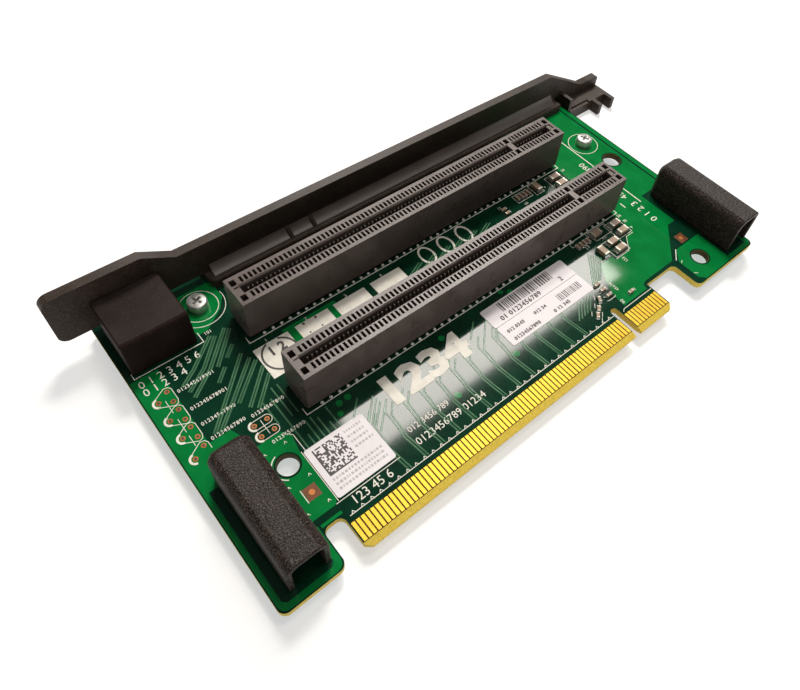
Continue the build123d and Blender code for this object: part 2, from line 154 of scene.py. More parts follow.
finish = {        # darkest and lightest colour, least and most roughness, scale of the clouds, metal
    "board": boardMaterial(),
    "pour": variedMaterial("maskOverCopper", (0.001, 0.140, 0.028), (0.002, 0.180, 0.038), 0.05, 0.08, 220.0),
    "trace": variedMaterial("maskOverTrace", (0.045, 0.125, 0.065), (0.075, 0.185, 0.10), 0.08, 0.14, 300.0),
    "print": variedMaterial("whitePrint", (0.64, 0.61, 0.54), (0.80, 0.77, 0.69), 0.45, 0.6, 500.0),
    "gold": variedMaterial("hardGold", (0.74, 0.44, 0.026), (0.86, 0.56, 0.05), 0.34, 0.46, 400.0, 0.55),
    # painted shade: the spring contacts' metal is coloured dark brown, as if shaded in the slot's channel
    "contact": variedMaterial("springAlloyPaintedShade", (0.16, 0.13, 0.10), (0.24, 0.20, 0.15), 0.4, 0.5, 900.0, 0.8),
    "solder": variedMaterial("brightSolder", (0.70, 0.70, 0.68), (0.92, 0.92, 0.90), 0.15, 0.3, 900.0, 1.0),
    "slot": variedMaterial("slotPlastic", (0.088, 0.068, 0.061), (0.114, 0.090, 0.082), 0.26, 0.34, 300.0,
                           gloss=0.60, sideGloss=0.08),
    "rail": variedMaterial("railPlastic", (0.024, 0.0155, 0.0120), (0.042, 0.028, 0.0215), 0.38, 0.5, 160.0,
                           gloss=0.42, sideGloss=0.16, grain=(0.7, 2600.0, 0.00004),
                           speck=(3000.0, 0.56, (0.055, 0.043, 0.034))),
    "sleeve": variedMaterial("sleevePlastic", (0.008, 0.0055, 0.005), (0.020, 0.014, 0.012), 0.34, 0.5, 500.0,
                             gloss=0.45, sideGloss=0.12, grain=(1.0, 2800.0, 0.00030),
                             speck=(4200.0, 0.54, (0.085, 0.064, 0.050))),
    # painted sheen: the cove is the rail's black plastic, coloured lighter to stand for the glossy highlight
    # on the foot
    "cove": variedMaterial("coveWithPaintedSheen", (0.085, 0.066, 0.057), (0.115, 0.090, 0.079), 0.48, 0.56, 160.0,
                           gloss=1.0, grain=(0.5, 2600.0, 0.00003)),
    "switch": variedMaterial("switchPlastic", (0.012, 0.007, 0.006), (0.022, 0.014, 0.012), 0.5, 0.64, 200.0,
                             gloss=0.25, sideGloss=0.04, grain=(0.6, 2600.0, 0.00004),
                             speck=(2600.0, 0.64, (0.036, 0.027, 0.023))),
    "screw": variedMaterial("zincPlate", (0.50, 0.50, 0.48), (0.66, 0.65, 0.62), 0.3, 0.45, 900.0, 0.85),
    "ceramic": variedMaterial("firedCeramic", (0.26, 0.18, 0.125), (0.36, 0.26, 0.18), 0.3, 0.45, 900.0),
    "tin": variedMaterial("tinnedEnd", (0.50, 0.47, 0.41), (0.66, 0.63, 0.56), 0.35, 0.5, 900.0, 1.0),
    "paper": variedMaterial("labelPaper", (0.70, 0.66, 0.68), (0.79, 0.75, 0.77), 0.4, 0.55, 250.0),
    "ink": variedMaterial("labelInk", (0.045, 0.040, 0.040), (0.08, 0.07, 0.07), 0.4, 0.55, 900.0),
    "faint": variedMaterial("paleInk", (0.40, 0.38, 0.39), (0.50, 0.48, 0.48), 0.4, 0.55, 900.0),
    "olive": variedMaterial("oliveLaminate", (0.045, 0.032, 0.004), (0.08, 0.056, 0.008), 0.55, 0.7, 500.0,
                            gloss=0.2),
    "window": variedMaterial("bareWindow", (0.11, 0.04, 0.014), (0.17, 0.06, 0.022), 0.35, 0.5, 900.0, 0.4),
    "solderWhite": variedMaterial("dullSolder", (0.78, 0.77, 0.74), (0.92, 0.91, 0.88), 0.35, 0.5, 900.0,
                                  0.15),
    "copper": variedMaterial("bareCopper", (0.40, 0.13, 0.035), (0.55, 0.20, 0.055), 0.3, 0.5, 900.0, 0.6),
}
print("materials made:", len(finish))

# shared making of pieces: shapes are drawn in millimetres from the edge connector's corner, with heights
# from the component side, and brought into the frame at the end

connectorLeft = 16.6        # from the board's left edge
corner = Vector((boardLow[0] + connectorLeft * mm, boardLow[1], boardHigh[2]))
toFrame = Matrix.Translation(corner) @ Matrix.Diagonal((mm, mm, mm, 1.0))
softening = {"smoothBelow": 38, "bevelAbove": 32, "shadeWeight": 80}        # degrees, pull of the flat faces


def finishPiece(name, bm, kind, stands=(), smooth=False, merge=False):
    if merge:
        bmesh.ops.remove_doubles(bm, verts=bm.verts, dist=0.0005)
        bmesh.ops.recalc_face_normals(bm, faces=bm.faces)
    bm.transform(toFrame)
    mesh = bpy.data.meshes.new(name)
    bm.to_mesh(mesh)
    bm.free()
    placePiece(name, mesh, kind, stands, smooth=smooth)


def placePiece(name, mesh, kind, stands=(), body="card", bevel=0.0, steps=2, smooth=False):
    piece = bpy.data.objects.new(name, mesh)
    bpy.context.scene.collection.objects.link(piece)
    mesh.materials.append(finish[kind])
    if smooth or bevel:
        mesh.shade_smooth()
        mesh.set_sharp_from_angle(angle=math.radians(softening["smoothBelow"]))
    if bevel:
        edge = piece.modifiers.new("softEdges", "BEVEL")
        edge.width = bevel * mm
        edge.segments = steps
        edge.limit_method = "ANGLE"
        edge.angle_limit = math.radians(softening["bevelAbove"])
        even = piece.modifiers.new("evenShading", "WEIGHTED_NORMAL")
        even.keep_sharp = True
        even.weight = softening["shadeWeight"]
    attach(piece, body)
    if stands:
        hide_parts(*stands)


def dressNode(name, node, kind, bevel, steps=2, body="card"):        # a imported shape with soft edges
    bm = bmesh.new()
    bm.from_mesh(nodes[node].data)
    bmesh.ops.remove_doubles(bm, verts=bm.verts, dist=0.000001)
    bmesh.ops.dissolve_limit(bm, angle_limit=math.radians(1.0), verts=bm.verts, edges=bm.edges)
    mesh = bpy.data.meshes.new(name)
    bm.to_mesh(mesh)
    bm.free()
    placePiece(name, mesh, kind, [node], body, bevel, steps)


def newVerts(geometry):
    return [part for part in geometry if isinstance(part, bmesh.types.BMVert)]


def boxMatrix(x0, x1, y0, y1, z0, z1):        # brings a unit cube to these limits
    middle = Matrix.Translation(((x0 + x1) / 2, (y0 + y1) / 2, (z0 + z1) / 2))
    return middle @ Matrix.Diagonal((x1 - x0, y1 - y0, z1 - z0, 1.0))


def addBlock(bm, x0, x1, y0, y1, z0, z1):
    bmesh.ops.create_cube(bm, size=1.0, matrix=boxMatrix(x0, x1, y0, y1, z0, z1))


stripLift = itertools.cycle((0.0015, 0.003, 0.0045, 0.006, 0.0))        # strips that cross differ in height


def addStrip(bm, start, end, width, low, high, overlap=0.6, ridge=1.0):        # ridge narrows the top
    (xa, ya), (xb, yb) = start, end
    top = high + next(stripLift)
    long = math.hypot(xb - xa, yb - ya) + width * overlap
    made = bmesh.ops.create_cube(bm, size=1.0)["verts"]
    bmesh.ops.scale(bm, vec=(1.0, ridge, 1.0), verts=[v for v in made if v.co.z > 0])
    place = Matrix.Translation(((xa + xb) / 2, (ya + yb) / 2, (low + top) / 2))
    turn = Matrix.Rotation(math.atan2(yb - ya, xb - xa), 4, "Z")
    bmesh.ops.transform(bm, matrix=place @ turn @ Matrix.Diagonal((long, width, top - low, 1.0)), verts=made)


def addLine(bm, points, width, low, high):
    for start, end in zip(points, points[1:]):
        addStrip(bm, start, end, width, low, high)


def addDisc(bm, x, y, z0, z1, radius, top=None, sides=12):
    bmesh.ops.create_cone(bm, cap_ends=True, segments=sides, radius1=radius,
                          radius2=radius if top is None else top, depth=z1 - z0,
                          matrix=Matrix.Translation((x, y, (z0 + z1) / 2)))


def spinRound(bm, geometry, x, y, steps):
    bmesh.ops.spin(bm, geom=geometry, cent=(x, y, 0), axis=(0, 0, 1), angle=math.tau, steps=steps,
                   use_merge=True)


def addRing(bm, x, y, z0, z1, inner, outer, steps):
    corners = [bm.verts.new((x + r, y, z)) for r, z in ((inner, z0), (outer, z0), (outer, z1), (inner, z1))]
    rim = [bm.edges.new(pair) for pair in zip(corners, corners[1:] + corners[:1])]
    spinRound(bm, corners + rim, x, y, steps)


def addLathe(bm, x, y, profile, steps):        # the profile starts on the axis
    line = [bm.verts.new((x + r, y, z)) for r, z in profile]
    edges = [bm.edges.new(pair) for pair in zip(line, line[1:])]
    spinRound(bm, line + edges, x, y, steps)


def addPlate(bm, corners, z0, z1, holes=()):        # a flat plate from its outline, with round holes
    rims = [[bm.verts.new((x, y, z0)) for x, y in corners]]
    for x, y, r in holes:
        place = Matrix.Translation((x, y, z0))
        rims.append(bmesh.ops.create_circle(bm, segments=32, radius=r, matrix=place)["verts"])
    pairs = [pair for ring in rims for pair in zip(ring, ring[1:] + ring[:1])]
    rim = [bm.edges.get(pair) or bm.edges.new(pair) for pair in pairs]
    flat = bmesh.ops.triangle_fill(bm, use_beauty=True, edges=rim, normal=(0, 0, 1))["geom"]
    faces = [part for part in flat if isinstance(part, bmesh.types.BMFace)]
    up = bmesh.ops.extrude_face_region(bm, geom=faces, use_keep_orig=True)["geom"]
    bmesh.ops.translate(bm, vec=(0, 0, z1 - z0), verts=newVerts(up))
    bmesh.ops.recalc_face_normals(bm, faces=bm.faces)


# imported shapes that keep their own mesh

nodeFinish = {"circuit_board": "board", "edge_pads_top": "gold", "edge_pads_bottom": "gold",
              "intrusion_microswitch": "slot", "microswitch_button": "slot", "microswitch_terminals": "tin"}
for name, kind in nodeFinish.items():
    nodes[name].data.materials.clear()
    nodes[name].data.materials.append(finish[kind])

# moulded parts

dressNode("railBody", "rail_bracket", "rail", 0.3)
dressNode("leftSleeve", "left_guide_sleeve", "sleeve", 0.35, 3)
dressNode("rightSleeve", "right_guide_sleeve", "sleeve", 0.35, 3)
dressNode("switchCover", "intrusion_switch_cover", "switch", 0.3)
dressNode("switchPlunger", "intrusion_plunger", "switch", 0.2, 2, "push_button")
dressNode("nearSlotBody", "slot_1_housing", "slot", 0.07, 1)
dressNode("farSlotBody", "slot_2_housing", "slot", 0.07, 1)

# hollow between the rail's foot and its wall, coloured lighter than the rail's black plastic as a painted
# sheen
footCove = {"left": 8.6, "right": 112.6, "back": 66.68, "low": 2.24, "radius": 2.6, "steps": 12}
bm = bmesh.new()
back, low, radius = footCove["back"], footCove["low"], footCove["radius"]
profile = [(back, low)]
for k in range(footCove["steps"] + 1):
    turn = math.pi / 2 * k / footCove["steps"]
    profile.append((back - radius + radius * math.sin(turn), low + radius - radius * math.cos(turn)))
face = bm.faces.new([bm.verts.new((footCove["left"], y, z)) for y, z in profile])
long = bmesh.ops.extrude_face_region(bm, geom=[face], use_keep_orig=True)["geom"]
bmesh.ops.translate(bm, vec=(footCove["right"] - footCove["left"], 0, 0), verts=newVerts(long))
bmesh.ops.recalc_face_normals(bm, faces=bm.faces)
finishPiece("footCove", bm, "cove", smooth=True)
print("moulded parts dressed")

# screws

screwSpots = ((2.5, 61.4), (109.0, 49.9))
screwHead = {"radius": 2.1, "high": 2.1, "crossLong": 2.9, "crossWide": 0.72, "crossDeep": 1.0,
             "crossTaper": 0.55, "crossTurn": 0.4, "shank": 1.12, "reach": 3.57}


def cutAway(bm, cutter):        # takes the cutter's shape out of a closed shape
    shapes = []
    for part in (bm, cutter):
        mesh = bpy.data.meshes.new("blank")
        part.to_mesh(mesh)
        part.free()
        shapes.append(bpy.data.objects.new("blank", mesh))
        bpy.context.scene.collection.objects.link(shapes[-1])
    cut = shapes[0].modifiers.new("recess", "BOOLEAN")
    cut.operation = "DIFFERENCE"
    cut.object = shapes[1]
    bpy.context.view_layer.update()
    result = bmesh.new()
    result.from_object(shapes[0], bpy.context.evaluated_depsgraph_get())
    for shape in shapes:
        mesh = shape.data
        bpy.data.objects.remove(shape)
        bpy.data.meshes.remove(mesh)
    return result


def addCross(bm, x, y, top):        # a tapered cross that the driver fits
    a, b = screwHead["crossWide"] / 2, screwHead["crossLong"] / 2
    outline = ((b, -a), (b, a), (a, a), (a, b), (-a, b), (-a, a),
               (-b, a), (-b, -a), (-a, -a), (-a, -b), (a, -b), (a, -a))
    face = bm.faces.new([bm.verts.new((px, py, 1.0)) for px, py in outline])
    down = bmesh.ops.extrude_face_region(bm, geom=[face], use_keep_orig=True)["geom"]
    lower = newVerts(down)
    taper = screwHead["crossTaper"]
    bmesh.ops.scale(bm, vec=(taper, taper, 1.0), verts=lower)
    bmesh.ops.translate(bm, vec=(0, 0, -1.0 - screwHead["crossDeep"]), verts=lower)
    place = Matrix.Translation((x, y, top)) @ Matrix.Rotation(screwHead["crossTurn"], 4, "Z")
    bmesh.ops.transform(bm, matrix=place, verts=list(face.verts) + lower)
    bmesh.ops.recalc_face_normals(bm, faces=bm.faces)


r, h, shank, tip = screwHead["radius"], screwHead["high"], screwHead["shank"], -screwHead["reach"]
profile = ((0, tip), (shank * 0.7, tip), (shank, tip + 0.5), (shank, 0.05), (r * 0.98, 0.05), (r, 0.2),
           (r, h * 0.8), (r * 0.97, h * 0.91), (r * 0.9, h * 0.97), (r * 0.8, h), (0, h))
heads, cutter = bmesh.new(), bmesh.new()
for x, y in screwSpots:
    addLathe(heads, x, y, profile, 36)
    addCross(cutter, x, y, h)
bmesh.ops.remove_doubles(heads, verts=heads.verts, dist=0.0005)
bmesh.ops.recalc_face_normals(heads, faces=heads.faces)
finishPiece("railScrews", cutAway(heads, cutter), "screw", ["rail_screws"], smooth=True)
print("screws set")

# copper under the mask: flat fields that stand a hair above the board

pour = {"high": 0.02, "underHigh": -1.57, "underLow": -1.59}
boardHoles = ((-2.2, 20.8, 2.5), (101.6, 5.35, 2.5), (110.7, 41.0, 2.8))        # x, y and free radius
pourFields = (
    ((-16.35, 1.7), (-16.1, 0.95), (-15.6, 0.45), (-14.9, 0.25), (-5.8, 0.25), (-5.1, 0.45), (-4.6, 0.95),
     (-4.35, 1.7), (-4.35, 8.4), (-5.5, 8.4), (-5.5, 2.1), (-6.2, 1.4), (-14.7, 1.4), (-15.4, 2.1),
     (-15.4, 24.8), (-16.35, 24.8)),
    ((-16.35, 24.8), (-6.4, 24.8), (-6.4, 9.6), (0.3, 9.6), (0.9, 10.4), (0.9, 22.0), (1.6, 25.6),
     (0.2, 27.2), (-4.5, 27.2), (-6.5, 33.0), (-10.8, 33.0), (-10.8, 52.6), (-16.35, 52.6)),
    ((-1.2, 55.0), (1.0, 55.0), (5.6, 58.2), (7.6, 61.0), (7.6, 65.0), (7.0, 66.0), (-1.4, 66.0)),
    ((12.6, 37.0), (25.4, 37.0), (25.4, 46.2), (12.6, 46.2)),
    ((95.0, 21.0), (92.0, 20.5), (89.6, 17.1), (84.2, 17.1), (84.0, 18.2), (80.2, 18.2), (78.4, 16.0),
     (76.9, 13.4), (75.6, 10.2), (75.2, 6.9), (83.2, 6.9), (83.6, 8.2), (84.8, 8.6), (94.9, 8.6),
     (103.6, 16.6), (106.3, 16.6), (106.3, 27.2), (114.2, 27.2), (114.2, 66.0), (88.0, 66.0), (88.0, 50.2),
     (95.6, 49.6)),
    ((97.4, 0.3), (107.4, 0.3), (107.4, 10.2), (98.7, 10.2), (96.0, 7.4), (96.0, 1.7)),
    ((107.4, 0.3), (114.6, 0.3), (115.4, 0.5), (115.9, 1.0), (116.15, 1.7), (114.9, 1.7), (114.3, 1.4),
     (107.4, 1.4)),
    ((114.75, 1.7), (116.15, 1.7), (116.15, 68.4), (114.75, 68.4)),
    ((-3.9, 7.65), (0.3, 7.65), (0.3, 8.25), (-3.9, 8.25)),
)
underFields = (
    ((-14.8, 1.2), (-6.0, 1.2), (-6.0, 9.4), (1.0, 10.0), (1.0, 56.0), (-14.8, 56.0)),
    ((2.0, 8.0), (70.4, 8.0), (73.6, 10.2), (80.0, 10.0), (80.0, 64.2), (7.4, 64.2), (7.4, 56.0),
     (2.0, 56.0)),
    ((81.0, 9.8), (94.0, 9.8), (97.5, 6.4), (97.5, 1.2), (114.6, 1.2), (114.6, 44.0), (104.0, 44.0),
     (104.0, 64.2), (81.0, 64.2)),
)


def holesIn(field):        # the board's holes that a field surrounds
    xs, ys = [x for x, y in field], [y for x, y in field]
    return [hole for hole in boardHoles if min(xs) < hole[0] < max(xs) and min(ys) < hole[1] < max(ys)]


def layFields(name, fields, low, high):
    bm = bmesh.new()
    for field in fields:
        addPlate(bm, field, low, high, holesIn(field))
    finishPiece(name, bm, "pour")


layFields("copperPours", pourFields, 0.0, pour["high"])

# a darker olive lining on the holes' walls than on the board's cut edges
holeWall = {"low": -1.5, "high": -0.05, "inner": 0.44, "outer": 0.36}
bm = bmesh.new()
for x, y, free in boardHoles:
    inner, outer = free - holeWall["inner"], free - holeWall["outer"]
    addRing(bm, x, y, holeWall["low"], holeWall["high"], inner, outer, 40)
finishPiece("holeWalls", bm, "olive", merge=True)

layFields("underPours", underFields, pour["underLow"], pour["underHigh"])
print("copper fields laid")

# traces under the mask

trace = {"width": 0.34, "low": 0.0, "high": 0.05, "ridge": 0.45, "overlap": 0.4, "paired": 16, "gap": 0.34}
lanes = [((-5.7, 48.6), (0.5, 53.7)), ((-4.0, 47.7), (1.3, 53.1)), ((-3.2, 46.8), (3.7, 53.7)),
         ((-1.8, 46.4), (4.5, 53.0)), ((0.6, 47.2), (3.0, 49.3)), ((-3.4, 43.1), (-0.8, 45.5)),
         ((-4.9, 38.4), (3.2, 46.4)), ((-3.7, 37.7), (4.0, 44.6)), ((-2.7, 37.0), (4.7, 43.4)),
         ((-1.5, 35.0), (5.1, 41.4)), ((-0.3, 33.9), (5.1, 39.2)), ((-9.0, 46.4), (-5.7, 48.6)),
         ((-8.6, 44.6), (-4.0, 47.7)), ((-8.4, 43.0), (-3.2, 46.8)), ((-9.2, 34.2), (-4.9, 38.4)),
         ((-8.4, 33.6), (-3.7, 37.7)), ((3.8, 36.0), (3.8, 28.6)), ((5.1, 36.0), (5.1, 28.6)),
         ((0.9, 34.1), (0.9, 28.6)), ((2.5, 34.0), (2.5, 21.3))]
lanes += [((x, 21.3), (x, y)) for x, y in ((3.9, 23.6), (5.0, 26.3), (6.1, 26.3), (7.2, 25.4), (8.5, 23.3),
                                           (9.6, 26.3))]
lanes += [((12.4, 21.2), (15.4, 24.2)), ((14.3, 18.9), (18.0, 22.8)), ((14.3, 17.9), (18.2, 21.9)),
          ((14.4, 16.9), (18.4, 20.9)), ((14.8, 15.9), (18.9, 19.9))]
lanes += [((42.0, 21.0), (45.4, 24.0)), ((44.0, 19.0), (48.0, 23.0)), ((46.0, 17.6), (48.6, 20.4))]
lanes += [((73.7 + 0.6 * k, 14.7 + 0.1 * k), (80.0 + 0.35 * k, 22.0 - 0.5 * k)) for k in range(6)]
lanes += [((64.0 + k, 10.2 + 0.1 * k), (67.4 + k, 13.7)) for k in range(5)]
for k in range(13):        # bent pairs that come down to the fingers
    for gap in (0.0, 0.6):
        x = 14.1 + 4.02 * k + gap
        lanes.append(((x, 6.8), (x - 0.7, 12.1), (x - 0.4, 15.6), (x - 0.3, 18.6 - 2 * gap),
                      (x + 1.5, 20.6 - 2 * gap)))
for k in range(6):        # shallow slanted lines between the slots
    x = 41.6 + 4.2 * k
    lanes += [((x, 41.4), (x + 5.0, 43.6)), ((x + 1.4, 41.4), (x + 5.6, 43.2))]


def addTrace(bm, points, shift=0.0):
    moved = [(x + shift, y - shift) for x, y in points]
    for start, end in zip(moved, moved[1:]):
        addStrip(bm, start, end, trace["width"], trace["low"], trace["high"], trace["overlap"],
                 trace["ridge"])


bm = bmesh.new()
for k, lane in enumerate(lanes):
    addTrace(bm, lane)
    if k < trace["paired"]:        # the long lanes run as pairs
        addTrace(bm, lane, trace["gap"])
finishPiece("maskedTraces", bm, "trace")

underside = {"rows": 26, "pitch": 2.6, "left": 6.0, "width": 0.2, "low": -1.61, "high": -1.59}
bm = bmesh.new()
for k in range(underside["rows"]):
    x, step = underside["left"] + underside["pitch"] * k, 0.2 * (k % 5)
    for points in (((x, 6.6), (x, 10.0 + step), (x + 3.0, 14.0 + step), (x + 3.0, 25.0)),
                   ((x + 4.0, 36.0), (x + 7.0, 40.0), (x + 7.0, 46.4))):
        addLine(bm, points, underside["width"], underside["low"], underside["high"])
finishPiece("undersideTraces", bm, "trace")

probeDots = {"high": 0.03,
             "spots": ((12.1, 25.4, 0.7), (14.1, 25.5, 0.7), (11.0, 23.4, 0.6), (31.2, 12.7, 0.75),
                       (37.3, 24.9, 0.7), (47.2, 12.6, 0.75), (57.4, 25.1, 0.7), (55.6, 26.4, 0.6))}
bm = bmesh.new()
for x, y, r in probeDots["spots"]:
    addDisc(bm, x, y, 0.0, probeDots["high"], r, sides=20)
finishPiece("probeDots", bm, "pour")
print("traces laid:", len(lanes))

# white print

printed = {"high": 0.045, "capital": 1.38}        # capital: text size for a digit one high
pen = {"finest": 0.1, "frame": 0.11, "hair": 0.12, "group": 0.13, "thin": 0.14, "ring": 0.15, "line": 0.16,
       "slot": 0.2, "bar": 0.26, "shade": 0.42, "oval": 0.5}        # widths of the printed lines


def addDigits(bm, words, x, y, tall, turn=0.0, bold=0.0, wide=1.0, high=printed["high"], spread=1.0):
    curve = bpy.data.curves.new("digits", "FONT")
    curve.body = words
    curve.resolution_u = 2
    curve.offset = bold
    curve.space_character = spread
    curve.extrude = 0.5
    holder = bpy.data.objects.new("digits", curve)
    flat = bpy.data.meshes.new_from_object(holder)
    size = tall * printed["capital"]
    place = Matrix.Translation((x, y, high / 2)) @ Matrix.Rotation(math.radians(turn), 4, "Z")
    flat.transform(place @ Matrix.Diagonal((size * wide, size, high, 1.0)))
    bm.from_mesh(flat)
    bpy.data.objects.remove(holder)
    bpy.data.curves.remove(curve)
    bpy.data.meshes.remove(flat)


def addRule(bm, width, *points):
    addLine(bm, points, width, 0.0, printed["high"])


def addArc(bm, x, y, radiusX, radiusY, start, sweep, width, steps):        # angles in degrees
    turns = [math.radians(start + sweep * k / steps) for k in range(steps + 1)]
    addRule(bm, width, *[(x + radiusX * math.cos(turn), y + radiusY * math.sin(turn)) for turn in turns])


def addFrame(bm, x0, x1, y0, y1, width):
    addRule(bm, width, (x0, y0), (x1, y0), (x1, y1), (x0, y1), (x0, y0))


testPads = ((-11.73, 47.0), (-14.03, 45.65), (-11.74, 44.45), (-11.78, 42.41), (-14.07, 41.09),
            (-11.78, 39.85), (-11.77, 37.87), (-13.96, 36.6), (-11.72, 35.37), (-11.74, 33.17),
            (-14.1, 31.73), (-0.21, 30.89), (-2.84, 30.93), (-0.23, 28.31), (-2.9, 28.35))
bm = bmesh.new()
for front in (27.0, 47.2):        # outlines along the slots
    addRule(bm, pen["slot"], (6.0, front + 1.6), (6.0, front), (96.2, front), (96.2, front + 1.6))
addRule(bm, pen["thin"], (1.0, 6.45), (71.0, 6.45))
for k in range(35):        # a saw line behind the fingers
    x = 1.4 + 2 * k
    addRule(bm, pen["group"], (x, 6.45), (x + 0.4, 7.0), (x + 0.8, 6.45))
addRule(bm, pen["line"], (-15.2, 54.4), (-15.2, 53.0), (-0.9, 53.0), (-0.9, 55.6))
for x, y in screwSpots:
    addArc(bm, x, y, 4.0, 4.0, 0, 360, pen["ring"], 40)
x, y = screwSpots[0]
addArc(bm, x, y, 5.4, 5.4, 200, 170, pen["ring"], 20)
addRule(bm, pen["bar"], (104.5, 26.0), (104.5, 40.0))
addRule(bm, pen["bar"], (104.5, 41.9), (104.5, 54.0))
x, y, r = boardHoles[0]
addArc(bm, x, y, 2.85, 2.85, 110, 130, pen["slot"], 16)
for x in (-4.4, -0.2):        # small arrow heads
    for y in (24.8, 17.0, 11.0):
        addRule(bm, pen["hair"], (x - 0.25, y - 0.2), (x, y + 0.25), (x + 0.25, y - 0.2))
addRule(bm, pen["thin"], (1.0, 9.9), (1.0, 21.4))
addRule(bm, pen["thin"], (0.4, 9.6), (14.2, 9.6))
for x, y in testPads:
    if x < -13.0 or -3.2 < x < -2.0:
        addArc(bm, x, y, 0.95, 0.95, 100, 160, pen["shade"], 10)
for k in range(0, 11, 3):        # a rounded outline round each group of three test pads
    (ax, ay), (bx, by) = testPads[k:k + 2]
    base = testPads[k + 2][1] if k < 9 else ay - 1.2
    addRule(bm, pen["group"], (ax + 0.95, base), (ax + 0.95, ay + 0.2), (ax + 0.5, ay + 0.8),
            (ax - 0.3, ay + 0.95), (bx - 0.4, by + 0.9))
    if k < 9:
        addRule(bm, pen["group"], (bx - 0.4, by - 0.9), (ax - 0.1, base - 1.0), (ax + 0.6, base - 0.8),
                (ax + 0.95, base))
for y in (28.33, 30.9):        # round the four pads by the corner hole
    addArc(bm, -0.22, y, 0.95, 0.95, -90, 180, pen["group"], 10)
    addRule(bm, pen["hair"], (-2.9, y + 0.95), (-0.2, y + 0.95))
    addRule(bm, pen["hair"], (-2.9, y - 0.95), (-0.2, y - 0.95))
for low, high in ((42.3, 45.3), (37.4, 40.6), (34.0, 36.4)):
    addRule(bm, pen["hair"], (-12.85, low), (-12.85, high))
addRule(bm, pen["hair"], (-1.35, 28.0), (-1.35, 31.3))
for x0, x1, y0, y1 in ((78.6, 84.2, 25.6, 27.0), (84.9, 90.6, 23.6, 26.6), (90.0, 94.6, 20.8, 25.9),
                       (84.9, 89.8, 17.3, 22.2), (78.6, 83.6, 43.8, 46.4), (84.5, 87.1, 43.2, 46.8),
                       (90.0, 94.6, 41.0, 46.2)):        # round the small parts
    addFrame(bm, x0, x1, y0, y1, pen["frame"])
for width, points in (("hair", ((84.5, 17.0), (89.0, 17.0), (92.0, 20.3), (94.4, 20.3))),
                      ("slot", ((95.9, 8.1), (98.5, 10.3))), ("thin", ((96.2, 6.8), (97.0, 7.2))),
                      ("thin", ((96.2, 3.1), (96.9, 2.5))),
                      ("thin", ((73.8, 5.9), (74.5, 6.35), (84.0, 6.35))),
                      ("line", ((-3.2, 12.7), (-3.2, 15.4))),
                      ("ring", ((0.5, 26.6), (1.75, 25.2), (1.75, 21.2))),
                      ("finest", ((80.4, 18.5), (84.0, 18.5)))):
    addRule(bm, pen[width], *points)
for k in range(5):        # short rules between the small parts
    y = 9.9 + 1.25 * k
    addRule(bm, pen["hair"], (73.2, y + 0.2), (73.5, y), (75.6, y), (75.9, y + 0.2))
for x, y, turn in ((71.4, 12.5, 60), (70.9, 10.3, 60), (69.8, 10.9, 45), (69.4, 8.3, 45), (67.6, 9.8, 45),
                   (68.2, 7.3, 45)):
    runX, runY = 0.6 * math.cos(math.radians(turn)), 0.6 * math.sin(math.radians(turn))
    addRule(bm, pen["hair"], (x - runX, y - runY), (x + runX, y + runY))
for x, y, words in ((-10.2, 45.5, "012345678901"), (-10.1, 40.7, "012345678901"),
                    (-10.1, 36.7, "01234567890"), (-10.1, 33.1, "01234567890"),
                    (-2.2, 32.6, "01234567890"), (-2.0, 25.8, "01234567890")):
    addDigits(bm, words, x, y, 0.82, bold=0.01, spread=1.12)
for x, y, tall, words, turn in (
        (-15.3, 50.3, 1.75, "0 1 2 3 4 5 6", 0), (-15.3, 48.3, 1.75, "0 1 2 3 4", 0),
        (18.7, 12.2, 1.3, "012 3456 789", 0), (18.5, 9.2, 1.6, "0123456789 01234", 0),
        (2.7, 7.5, 1.8, "123 45 6", 0), (103.4, 19.4, 2.0, "0 1 2 3", 90), (103.1, 29.0, 1.8, "45", 90),
        (103.1, 38.6, 1.8, "67890", 90), (98.9, 26.9, 1.9, "1", 0), (0.0, 54.2, 0.8, "101", 0),
        (8.6, 45.6, 0.8, "1", 0), (17.8, 45.4, 0.8, "2", 0), (27.8, 45.4, 0.8, "3", 0),
        (37.2, 45.4, 0.8, "4", 0), (72.8, 45.0, 0.8, "12", 0), (96.0, 45.4, 0.8, "34", 0),
        (95.3, 25.6, 0.9, "56", 0), (95.2, 23.6, 0.8, "78", 0), (95.2, 21.2, 0.8, "9", 0),
        (86.4, 14.9, 0.8, "123", 90),
        (77.9, 10.6, 0.8, "45678", 90), (76.3, 7.3, 0.9, "90", 90), (80.6, 8.2, 0.8, "1", 0),
        (80.9, 23.2, 0.7, "2 3", 0), (86.6, 23.0, 0.7, "4 5", 0), (78.9, 26.6, 0.6, "678", 0),
        (84.8, 26.6, 0.6, "90", 0), (79.4, 42.4, 0.6, "123", 0), (87.8, 43.8, 0.7, "4", 0)):
    addDigits(bm, words, x, y, tall, turn)
for x in (49.5, 55.1, 60.7):        # plain ovals in outline
    addArc(bm, x, 44.2, 1.65, 2.5, 0, 360, pen["oval"], 32)
finishPiece("whitePrint", bm, "print")

patches = {"size": 8.0, "front": 37.3, "left": (5.4, 15.1, 24.5, 34.1), "high": 0.04}
bigDigits = {"words": "1234", "x": 18.8, "y": 18.6, "tall": 6.2, "bold": 0.05, "wide": 1.28, "high": 0.07}
bm = bmesh.new()
for x in patches["left"]:
    y, size = patches["front"], patches["size"]
    addBlock(bm, x, x + size, y, y + size, 0.0, patches["high"])
addDigits(bm, **bigDigits)
finishPiece("printPatches", bm, "print")

